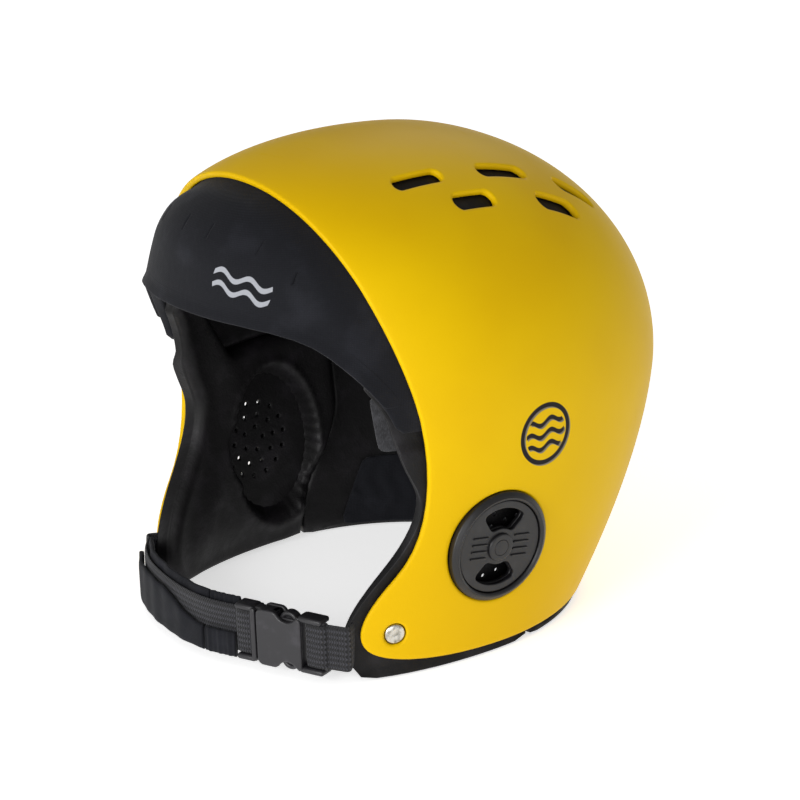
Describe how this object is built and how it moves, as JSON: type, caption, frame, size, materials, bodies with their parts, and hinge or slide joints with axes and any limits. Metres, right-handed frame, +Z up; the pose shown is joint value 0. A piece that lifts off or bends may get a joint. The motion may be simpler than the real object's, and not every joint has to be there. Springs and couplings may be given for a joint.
{
  "type": "water sports helmet",
  "caption": "Open-face water sports helmet with a foam-lined shell, neoprene brow band, turning ear vents and a buckled chin strap.",
  "frame": {"origin": "on the surface that the helmet stands on, under the middle of its whole box", "axes": "+Z up, the face opening looks along -Y, +X is the wearer's left"},
  "size_m": [0.1886, 0.228, 0.2068],
  "materials": {
    "shell": "satin yellow moulded plastic",
    "foam": "closed-cell foam with a moulded skin",
    "neoprene": "knit-faced neoprene",
    "felt": "brushed loop pile",
    "vent_plastic": "semi-matt moulded plastic",
    "buckle_plastic": "fine-textured acetal",
    "webbing": "ribbed woven webbing",
    "steel": "nickel-plated"
  },
  "bodies": {
    "helmet": {"shell": "shell", "front_band": "neoprene", "band_hem": "neoprene", "crown_liner": "foam", "rear_liner": "foam", "side_liner_left": "foam", "side_liner_right": "foam", "ear_mesh_left": "foam", "ear_mesh_right": "foam", "nape_band": "neoprene", "loop_patch": "felt", "vent_ring_left": "vent_plastic", "vent_base_left": "vent_plastic", "vent_pin_left": "vent_plastic", "vent_ring_right": "vent_plastic", "vent_base_right": "vent_plastic", "vent_pin_right": "vent_plastic", "strap_rivet_left": "steel", "strap_rivet_right": "steel", "rivet_washer_left": "steel", "rivet_washer_right": "steel", "strap_tab_left": "webbing", "strap_tab_right": "webbing"},
    "vent_knob_left": {"vent_disc_left": "vent_plastic"},
    "vent_knob_right": {"vent_disc_right": "vent_plastic"},
    "chin_strap": {"short_webbing": "webbing", "long_webbing": "webbing", "sleeve_front": "neoprene", "sleeve_back": "neoprene", "buckle_female": "buckle_plastic"},
    "buckle_insert": {"buckle_male": "buckle_plastic"},
    "button_upper": {"prong_upper": "buckle_plastic"},
    "button_lower": {"prong_lower": "buckle_plastic"}
  },
  "joints": [
    {"name": "vent_turn_left", "type": "hinge", "parent": "helmet", "child": "vent_knob_left", "pos_m": [0.0894, -0.02145, 0.0488], "axis": [0.9939, -0.042, -0.1018], "range_deg": [0, 90]},
    {"name": "vent_turn_right", "type": "hinge", "parent": "helmet", "child": "vent_knob_right", "pos_m": [-0.0894, -0.02145, 0.0488], "axis": [-0.9939, -0.042, -0.1018], "range_deg": [0, 90]},
    {"name": "chin_strap_swing", "type": "hinge", "parent": "helmet", "child": "chin_strap", "pos_m": [0, -0.08885, 0.016], "axis": [-1, 0, 0], "range_deg": [-24, 20]},
    {"name": "buckle_release", "type": "slide", "parent": "chin_strap", "child": "buckle_insert", "axis": [-0.9466, -0.3225, 0], "range_m": [0, 0.016]},
    {"name": "upper_button_press", "type": "slide", "parent": "buckle_insert", "child": "button_upper", "axis": [0, 0, -1], "range_m": [0, 0.0025], "stiffness_N_per_m": 400},
    {"name": "lower_button_press", "type": "slide", "parent": "buckle_insert", "child": "button_lower", "axis": [0, 0, 1], "range_m": [0, 0.0025], "stiffness_N_per_m": 400}
  ]
}
